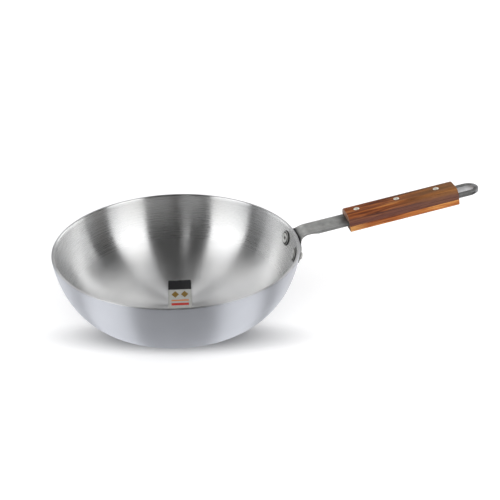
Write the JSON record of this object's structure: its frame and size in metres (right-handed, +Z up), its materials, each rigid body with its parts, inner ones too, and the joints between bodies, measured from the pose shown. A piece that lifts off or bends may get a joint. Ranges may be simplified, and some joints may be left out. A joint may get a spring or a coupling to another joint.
{
  "type": "frying pan",
  "caption": "Deep round aluminium frying pan with a curved wall, a riveted steel strap handle, a pinned wooden grip and a hanging slot.",
  "frame": {"origin": "centre of the bowl's flat underside, on the surface that the pan stands on", "axes": "+X from the bowl's axis along the handle, +Z up, the way the bowl opens"},
  "size_m": [0.4616, 0.26, 0.121],
  "materials": {
    "bowl_aluminium": "spun, fine rings, satin",
    "handle_steel": "mottled dull grey",
    "rivet_aluminium": "bright, struck",
    "pin_aluminium": "bright, ground flush",
    "upper_wood": "varnished red brown",
    "lower_wood": "varnished orange",
    "label_paper": "printed, satin"
  },
  "bodies": {
    "root": {"bowl": "bowl_aluminium", "handle": "handle_steel", "bowl_rivet_rear": "rivet_aluminium", "bowl_rivet_front": "rivet_aluminium", "grip_upper_scale": "upper_wood", "grip_lower_scale": "lower_wood", "grip_pin_near": "pin_aluminium", "grip_pin_middle": "pin_aluminium", "grip_pin_far": "pin_aluminium", "floor_label": "label_paper"}
  },
  "joints": []
}
